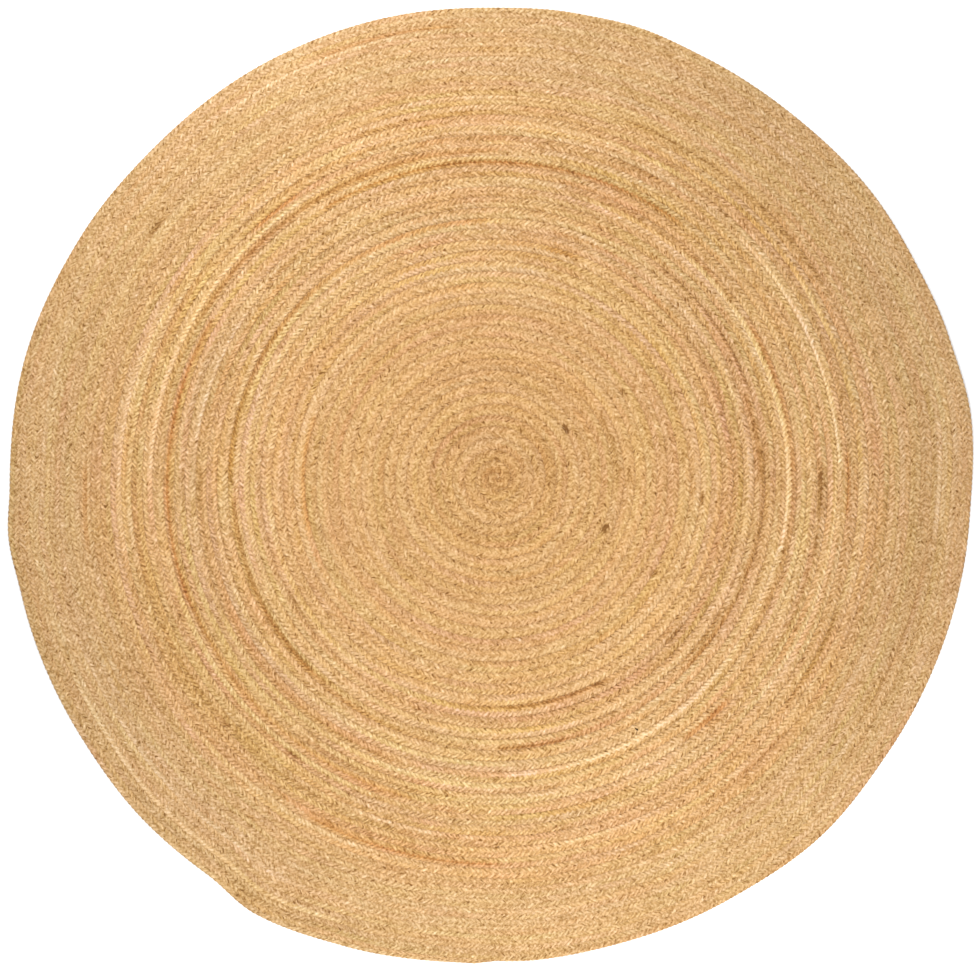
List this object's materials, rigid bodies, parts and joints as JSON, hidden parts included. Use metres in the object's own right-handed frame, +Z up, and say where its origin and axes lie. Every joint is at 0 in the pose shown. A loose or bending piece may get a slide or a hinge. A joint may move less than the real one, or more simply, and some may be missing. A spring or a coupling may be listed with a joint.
{
  "type": "round braided jute rug",
  "caption": "Round flat floor rug, one flat jute braid coiled from the middle and sewn turn to turn, with a ribbed top, a plain rim and a hand-made, slightly uneven outline.",
  "frame": {"origin": "middle of the rug's box, on the floor under it", "axes": "+Z up, out of the rug's face; +X to the right and +Y away from the viewer who stands at the side where the braid ends"},
  "size_m": [2.4106, 2.3876, 0.01],
  "materials": {
    "jute": "undyed golden-tan jute braid, dull, coarse and slightly hairy, with lighter and darker streaks along the turns"
  },
  "bodies": {
    "root": {"braided_coil": "jute"}
  },
  "joints": []
}
